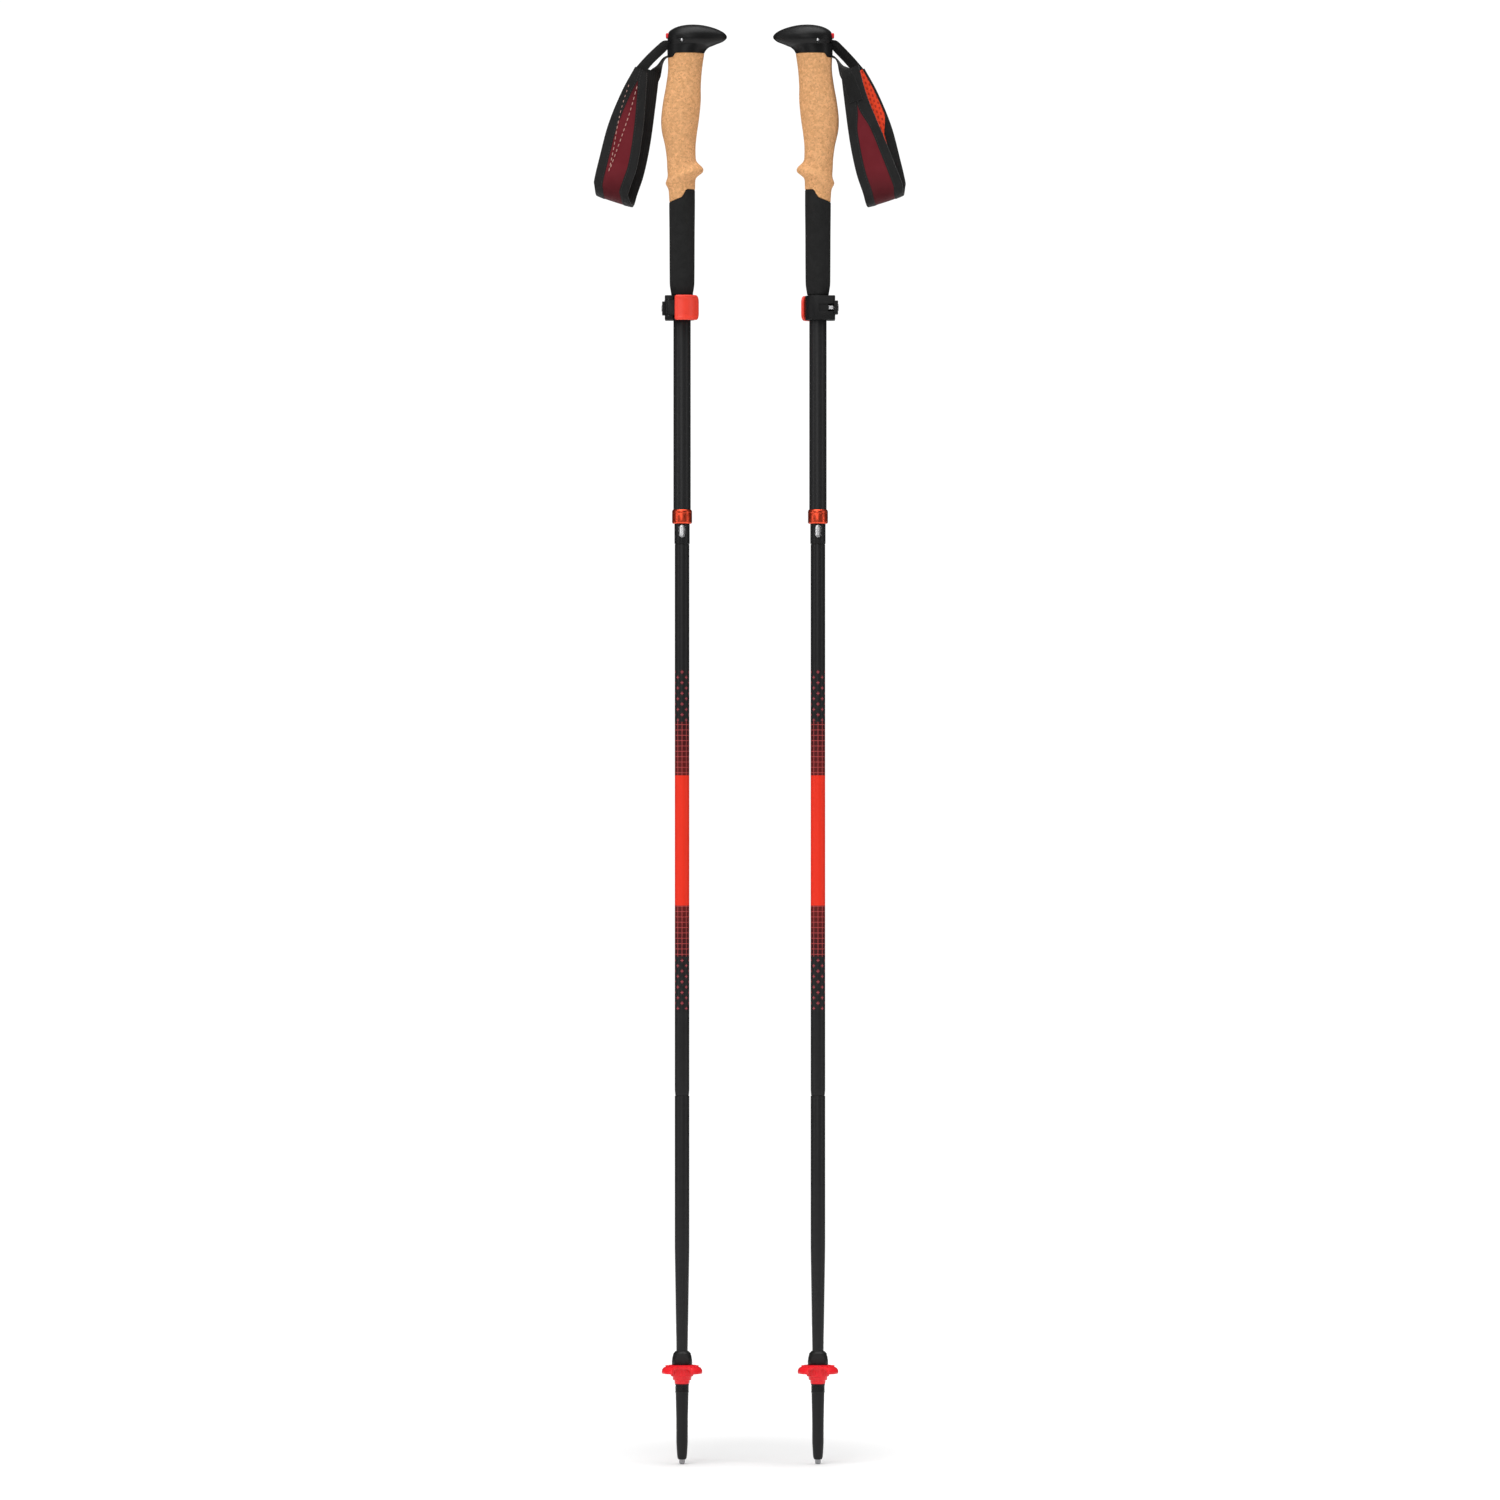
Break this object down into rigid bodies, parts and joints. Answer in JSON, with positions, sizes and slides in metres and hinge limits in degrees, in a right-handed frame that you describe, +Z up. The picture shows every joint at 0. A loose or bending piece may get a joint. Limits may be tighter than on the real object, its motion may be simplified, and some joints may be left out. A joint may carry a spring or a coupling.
{
  "type": "trekking poles",
  "caption": "Pair of folding trekking poles with cork grips, padded wrist straps, lever clamps, push-button folding tubes, baskets and hard tips.",
  "frame": {"origin": "on the ground, midway between the two poles", "axes": "+Z up the poles, +X from the left pole to the right pole, -Y towards the face with the left pole's clamp lever and both buttons"},
  "size_m": [0.269, 0.0354, 1.25],
  "materials": {
    "black_plastic": "black moulded plastic, satin",
    "cork": "natural cork with dark specks, matt",
    "foam": "charcoal closed-cell foam, matt",
    "carbon": "satin black tube, with a printed pattern on the middle tubes",
    "coral": "coral red plastic, satin",
    "orange_metal": "orange anodised, satin",
    "silver": "satin steel",
    "red_plastic": "red moulded plastic, semi-gloss",
    "strap_fabric": "burgundy padded fabric with charcoal bound edges and orange stitching",
    "webbing": "black woven webbing",
    "cord": "grey braided cord",
    "carbide": "grey hard metal"
  },
  "bodies": {
    "left_handle": {"left_upper_tube": "carbon", "left_foam_grip": "foam", "left_cork_grip": "cork", "left_pommel": "black_plastic", "left_pommel_pin": "silver", "left_clamp_body": "black_plastic", "left_lever_pin": "silver", "left_barrel_nut": "silver"},
    "left_wedge": {"left_strap_wedge": "red_plastic"},
    "left_strap": {"left_strap_cuff": "strap_fabric", "left_strap_webbing_upper": "webbing", "left_strap_webbing_lower": "webbing"},
    "left_lever": {"left_clamp_lever": "coral"},
    "left_screw": {"left_tension_screw": "silver"},
    "left_slide": {"left_slide_tube": "carbon", "left_slide_bushing": "black_plastic", "left_collar": "orange_metal", "left_button_sleeve": "black_plastic", "left_button_spring": "silver", "left_cord_anchor": "cord"},
    "left_button": {"left_release_button": "silver"},
    "left_middle": {"left_middle_tube": "carbon", "left_upper_cone": "black_plastic", "left_cord_middle": "cord"},
    "left_lower": {"left_lower_tube": "carbon", "left_lower_cone": "black_plastic", "left_cord_lower": "cord", "left_tip": "black_plastic", "left_carbide_tip": "carbide"},
    "left_basket_ring": {"left_basket": "red_plastic"},
    "right_handle": {"right_upper_tube": "carbon", "right_foam_grip": "foam", "right_cork_grip": "cork", "right_pommel": "black_plastic", "right_pommel_pin": "silver", "right_clamp_body": "black_plastic", "right_lever_pin": "silver", "right_barrel_nut": "silver"},
    "right_wedge": {"right_strap_wedge": "red_plastic"},
    "right_strap": {"right_strap_cuff": "strap_fabric", "right_strap_webbing_upper": "webbing", "right_strap_webbing_lower": "webbing"},
    "right_lever": {"right_clamp_lever": "coral"},
    "right_screw": {"right_tension_screw": "silver"},
    "right_slide": {"right_slide_tube": "carbon", "right_slide_bushing": "black_plastic", "right_collar": "orange_metal", "right_button_sleeve": "black_plastic", "right_button_spring": "silver", "right_cord_anchor": "cord"},
    "right_button": {"right_release_button": "silver"},
    "right_middle": {"right_middle_tube": "carbon", "right_upper_cone": "black_plastic", "right_cord_middle": "cord"},
    "right_lower": {"right_lower_tube": "carbon", "right_lower_cone": "black_plastic", "right_cord_lower": "cord", "right_tip": "black_plastic", "right_carbide_tip": "carbide"},
    "right_basket_ring": {"right_basket": "red_plastic"}
  },
  "joints": [
    {"name": "right_pole_apart", "type": "slide", "parent": "left_handle", "child": "right_handle", "axis": [1, 0, 0], "range_m": [0, 0.3]},
    {"name": "left_length_adjust", "type": "slide", "parent": "left_handle", "child": "left_slide", "axis": [0, 0, 1], "range_m": [0, 0.15]},
    {"name": "left_lever_turn", "type": "hinge", "parent": "left_handle", "child": "left_lever", "pos_m": [-0.0706, -0.009, 1.00385], "axis": [0, 0, -1], "range_deg": [0, 120]},
    {"name": "left_tension_screw_turn", "type": "hinge", "parent": "left_handle", "child": "left_screw", "pos_m": [-0.0759, 0.0076, 1.00385], "axis": [-1, 0, 0], "range_deg": [-180, 180]},
    {"name": "left_wedge_slide", "type": "slide", "parent": "left_handle", "child": "left_wedge", "axis": [-1, 0, 0], "range_m": [0, 0.003]},
    {"name": "left_strap_swing", "type": "hinge", "parent": "left_handle", "child": "left_strap", "pos_m": [-0.0743, 0, 1.2347], "axis": [0, 1, 0], "range_deg": [0, 60]},
    {"name": "left_button_press", "type": "slide", "parent": "left_slide", "child": "left_button", "axis": [0, 1, 0], "range_m": [0, 0.0013], "stiffness_N_per_m": 500, "springref_m": -0.0006, "deforming": ["left_button_spring"]},
    {"name": "left_fold_upper", "type": "hinge", "parent": "left_slide", "child": "left_middle", "pos_m": [-0.059, 0.0131, 0.7988], "axis": [1, 0, 0], "range_deg": [0, 179.5]},
    {"name": "left_fold_lower", "type": "hinge", "parent": "left_middle", "child": "left_lower", "pos_m": [-0.059, -0.0131, 0.3198], "axis": [-1, 0, 0], "range_deg": [0, 179.5]},
    {"name": "left_basket_turn", "type": "hinge", "parent": "left_lower", "child": "left_basket_ring", "pos_m": [-0.059, 0, 0.0865], "axis": [0, 0, 1], "range_deg": [0, 360]},
    {"name": "right_length_adjust", "type": "slide", "parent": "right_handle", "child": "right_slide", "axis": [0, 0, 1], "range_m": [0, 0.15]},
    {"name": "right_lever_turn", "type": "hinge", "parent": "right_handle", "child": "right_lever", "pos_m": [0.0706, 0.009, 1.00385], "axis": [0, 0, -1], "range_deg": [0, 120]},
    {"name": "right_tension_screw_turn", "type": "hinge", "parent": "right_handle", "child": "right_screw", "pos_m": [0.0759, -0.0076, 1.00385], "axis": [1, 0, 0], "range_deg": [-180, 180]},
    {"name": "right_wedge_slide", "type": "slide", "parent": "right_handle", "child": "right_wedge", "axis": [1, 0, 0], "range_m": [0, 0.003]},
    {"name": "right_strap_swing", "type": "hinge", "parent": "right_handle", "child": "right_strap", "pos_m": [0.0743, 0, 1.2347], "axis": [0, -1, 0], "range_deg": [0, 60]},
    {"name": "right_button_press", "type": "slide", "parent": "right_slide", "child": "right_button", "axis": [0, 1, 0], "range_m": [0, 0.0013], "stiffness_N_per_m": 500, "springref_m": -0.0006, "deforming": ["right_button_spring"]},
    {"name": "right_fold_upper", "type": "hinge", "parent": "right_slide", "child": "right_middle", "pos_m": [0.059, -0.0131, 0.7988], "axis": [-1, 0, 0], "range_deg": [0, 179.5]},
    {"name": "right_fold_lower", "type": "hinge", "parent": "right_middle", "child": "right_lower", "pos_m": [0.059, 0.0131, 0.3198], "axis": [1, 0, 0], "range_deg": [0, 179.5]},
    {"name": "right_basket_turn", "type": "hinge", "parent": "right_lower", "child": "right_basket_ring", "pos_m": [0.059, 0, 0.0865], "axis": [0, 0, 1], "range_deg": [0, 360]}
  ]
}
